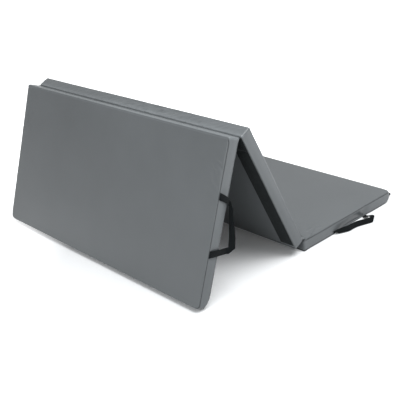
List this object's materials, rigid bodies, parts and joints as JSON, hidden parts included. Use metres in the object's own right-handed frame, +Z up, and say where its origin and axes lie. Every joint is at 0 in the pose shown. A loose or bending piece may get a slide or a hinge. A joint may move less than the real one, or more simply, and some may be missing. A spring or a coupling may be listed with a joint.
{
  "type": "folding gym mat",
  "caption": "Folding exercise mat of foam panels in sewn vinyl covers, with webbing carrying handles and hook-and-loop edges, standing part folded as a tent.",
  "frame": {"origin": "middle of the box of the whole mat as it stands, at floor level", "axes": "+X from the leaning end panel to the panel that lies flat, Y along the folds, +Z up"},
  "size_m": [1.2318, 1.362, 0.5913],
  "materials": {
    "vinyl": "satin",
    "webbing": "matte",
    "hook_and_loop": "matte",
    "foam": "matte"
  },
  "bodies": {
    "panel_3": {"panel_3_foam_core": "foam", "panel_3_top_skin": "vinyl", "panel_3_bottom_skin": "vinyl", "panel_3_side_band": "vinyl", "panel_3_side_strip_near": "hook_and_loop", "panel_3_side_strip_far": "hook_and_loop", "valley_hinge_leaf_3": "vinyl"},
    "panel_2": {"panel_2_foam_core": "foam", "panel_2_top_skin": "vinyl", "panel_2_bottom_skin": "vinyl", "panel_2_side_band": "vinyl", "panel_2_side_strip_near": "hook_and_loop", "panel_2_side_strip_far": "hook_and_loop", "valley_hinge_leaf_2": "vinyl", "ridge_hinge_leaf_2": "vinyl"},
    "panel_1": {"panel_1_foam_core": "foam", "panel_1_top_skin": "vinyl", "panel_1_bottom_skin": "vinyl", "panel_1_side_band": "vinyl", "panel_1_side_strip_near": "hook_and_loop", "panel_1_side_strip_far": "hook_and_loop", "ridge_hinge_leaf_1": "vinyl", "end_loop_strip": "hook_and_loop"},
    "handle_1_near": {"handle_1_near": "webbing"},
    "handle_1_far": {"handle_1_far": "webbing"},
    "handle_3_near": {"handle_3_near": "webbing"},
    "handle_3_far": {"handle_3_far": "webbing"},
    "end_flap": {"end_flap": "hook_and_loop"}
  },
  "joints": [
    {"name": "valley_fold", "type": "hinge", "parent": "panel_3", "child": "panel_2", "pos_m": [-0.04138, 0, 0.053], "axis": [0, 1, 0], "range_deg": [-63, 117]},
    {"name": "ridge_fold", "type": "hinge", "parent": "panel_2", "child": "panel_1", "pos_m": [-0.36867, 0, 0.57198], "axis": [0, -1, 0], "range_deg": [-133.91, 46.08]},
    {"name": "handle_1_near_swing", "type": "hinge", "parent": "panel_1", "child": "handle_1_near", "pos_m": [-0.51485, -0.61105, 0.29929], "axis": [-0.3269, 0, -0.9451], "range_deg": [-3, 197]},
    {"name": "handle_1_far_swing", "type": "hinge", "parent": "panel_1", "child": "handle_1_far", "pos_m": [-0.51485, 0.61105, 0.29929], "axis": [0.3269, 0, 0.9451], "range_deg": [-3, 197]},
    {"name": "handle_3_near_swing", "type": "hinge", "parent": "panel_3", "child": "handle_3_near", "pos_m": [0.26412, -0.61105, 0.004], "axis": [-1, 0, 0], "range_deg": [-112, 90]},
    {"name": "handle_3_far_swing", "type": "hinge", "parent": "panel_3", "child": "handle_3_far", "pos_m": [0.26412, 0.61105, 0.004], "axis": [1, 0, 0], "range_deg": [-112, 90]},
    {"name": "end_flap_swing", "type": "hinge", "parent": "panel_3", "child": "end_flap", "pos_m": [0.56792, 0, 0.004], "axis": [0, -1, 0], "range_deg": [-110, 92]}
  ]
}
